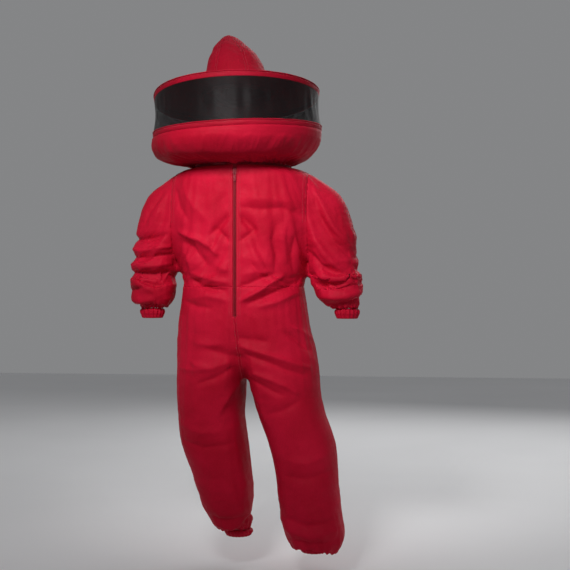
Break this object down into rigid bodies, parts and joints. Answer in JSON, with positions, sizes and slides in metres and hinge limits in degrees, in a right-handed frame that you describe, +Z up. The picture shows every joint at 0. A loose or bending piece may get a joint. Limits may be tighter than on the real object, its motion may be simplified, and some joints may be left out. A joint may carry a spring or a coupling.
{
  "type": "beekeeping suit",
  "caption": "Child's one-piece beekeeping suit with a zip front, elastic cuffs and a round brimmed hat with an all-round net veil zipped to the neck.",
  "frame": {"origin": "centre of the neck opening, on the closing line of the neck zip", "axes": "+Z up along the wearer, the front faces -Y, +X is the wearer's left"},
  "size_m": [0.579, 0.4149, 1.2491],
  "materials": {
    "poplin": "crimson polyester-cotton with a soft sheen",
    "brim": "stiffened crimson fabric",
    "binding": "crimson binding, stitched",
    "net": "fine black net",
    "elastic": "ribbed crimson elastic",
    "sweatband": "woven cotton band",
    "zip_tape": "woven dark red zip tape",
    "zip_teeth": "moulded dark red nylon",
    "zip_metal": "dark red enamelled zinc",
    "hoop_steel": "sprung steel wire"
  },
  "bodies": {
    "suit": {"front_zip_bottom_stop": "zip_teeth", "front_zip_chain_left": "zip_teeth", "front_zip_chain_right": "zip_teeth", "front_zip_tape_left": "zip_tape", "front_zip_tape_right": "zip_tape", "neck_facing": "binding", "neck_zip_lower_chain": "zip_teeth", "neck_zip_lower_tape": "zip_tape", "trouser_back_left": "poplin", "trouser_back_right": "poplin", "trouser_front_left": "poplin", "trouser_front_right": "poplin", "upper_back": "poplin", "upper_front_left": "poplin", "upper_front_right": "poplin", "waist_elastic": "elastic"},
    "hood": {"hat_crown": "poplin", "sweatband": "sweatband", "hat_brim": "brim", "brim_wire": "hoop_steel", "brim_binding": "binding", "veil_mesh": "net", "veil_back_seam": "binding", "hoop_casing": "binding", "lower_hoop": "hoop_steel", "veil_skirt": "poplin", "neck_zip_upper_tape": "zip_tape", "neck_zip_upper_chain": "zip_teeth"},
    "front_slider": {"front_zip_slider": "zip_metal"},
    "front_pull": {"front_zip_pull": "zip_metal"},
    "neck_slider": {"neck_zip_slider": "zip_metal"},
    "neck_pull": {"neck_zip_pull": "zip_metal"},
    "sleeve_left": {"sleeve_front_left": "poplin", "sleeve_back_left": "poplin", "wrist_cuff_left": "poplin", "wrist_elastic_left": "elastic"},
    "leg_left": {"leg_front_left": "poplin", "leg_back_left": "poplin", "ankle_cuff_left": "poplin", "ankle_elastic_left": "elastic"},
    "sleeve_right": {"sleeve_front_right": "poplin", "sleeve_back_right": "poplin", "wrist_cuff_right": "poplin", "wrist_elastic_right": "elastic"},
    "leg_right": {"leg_front_right": "poplin", "leg_back_right": "poplin", "ankle_cuff_right": "poplin", "ankle_elastic_right": "elastic"}
  },
  "joints": [
    {"name": "hood_tilt", "type": "hinge", "parent": "suit", "child": "hood", "pos_m": [0, 0.123, 0], "axis": [-1, 0, 0], "range_deg": [0, 85]},
    {"name": "front_zip_slide", "type": "slide", "parent": "suit", "child": "front_slider", "axis": [0, 0, -1], "range_m": [0, 0.333]},
    {"name": "front_pull_swing", "type": "hinge", "parent": "front_slider", "child": "front_pull", "pos_m": [0, -0.12155, -0.023], "axis": [-1, 0, 0], "range_deg": [0, 150]},
    {"name": "neck_zip_run", "type": "hinge", "parent": "suit", "child": "neck_slider", "pos_m": [0, 0, 0], "axis": [0, 0, -1], "range_deg": [0, 332]},
    {"name": "neck_pull_swing", "type": "hinge", "parent": "neck_slider", "child": "neck_pull", "pos_m": [-0.03183, -0.11527, 0], "axis": [0, 0, 1], "range_deg": [0, 150]},
    {"name": "shoulder_left", "type": "hinge", "parent": "suit", "child": "sleeve_left", "pos_m": [0.165, 0.002, -0.104], "axis": [-1, 0, 0], "range_deg": [-25, 80]},
    {"name": "shoulder_right", "type": "hinge", "parent": "suit", "child": "sleeve_right", "pos_m": [-0.165, 0.002, -0.104], "axis": [-1, 0, 0], "range_deg": [-25, 80]},
    {"name": "hip_left", "type": "hinge", "parent": "suit", "child": "leg_left", "pos_m": [0.1, 0, -0.4], "axis": [-1, 0, 0], "range_deg": [-20, 25]},
    {"name": "hip_right", "type": "hinge", "parent": "suit", "child": "leg_right", "pos_m": [-0.08, 0, -0.4], "axis": [-1, 0, 0], "range_deg": [-20, 25]}
  ]
}
